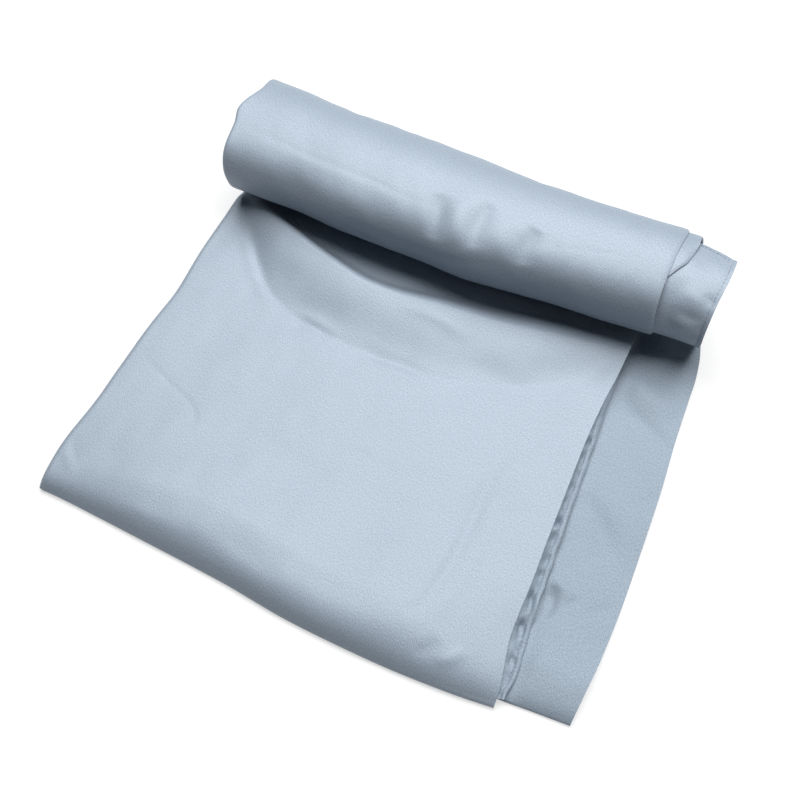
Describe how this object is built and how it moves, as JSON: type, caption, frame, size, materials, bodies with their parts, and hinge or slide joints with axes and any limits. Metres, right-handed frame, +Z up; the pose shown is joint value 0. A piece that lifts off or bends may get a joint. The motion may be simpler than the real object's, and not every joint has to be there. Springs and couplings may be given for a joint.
{
  "type": "folded and rolled evening stole",
  "caption": "Satin evening stole lying folded on a surface, its far half rolled up loosely; a soft wrap for the shoulders, at rest.",
  "frame": {"origin": "centre of the whole part's box, on the surface that it lies on", "axes": "+X along the roll, from the lengthwise fold to the hemmed edges; +Y from the front fold to the roll; +Z up from the surface"},
  "size_m": [0.3883, 0.3789, 0.076],
  "materials": {
    "satin_face": "dusty blue satin, soft sheen, fine grain",
    "satin_back": "dull back of the same satin"
  },
  "bodies": {
    "root": {"top_layer": "satin_face", "second_layer": "satin_back", "folded_core": "satin_back", "lower_layer": "satin_back", "under_layer": "satin_back", "roll_outer": "satin_face", "roll_second": "satin_face", "roll_wide": "satin_face", "roll_core": "satin_back"}
  },
  "joints": []
}
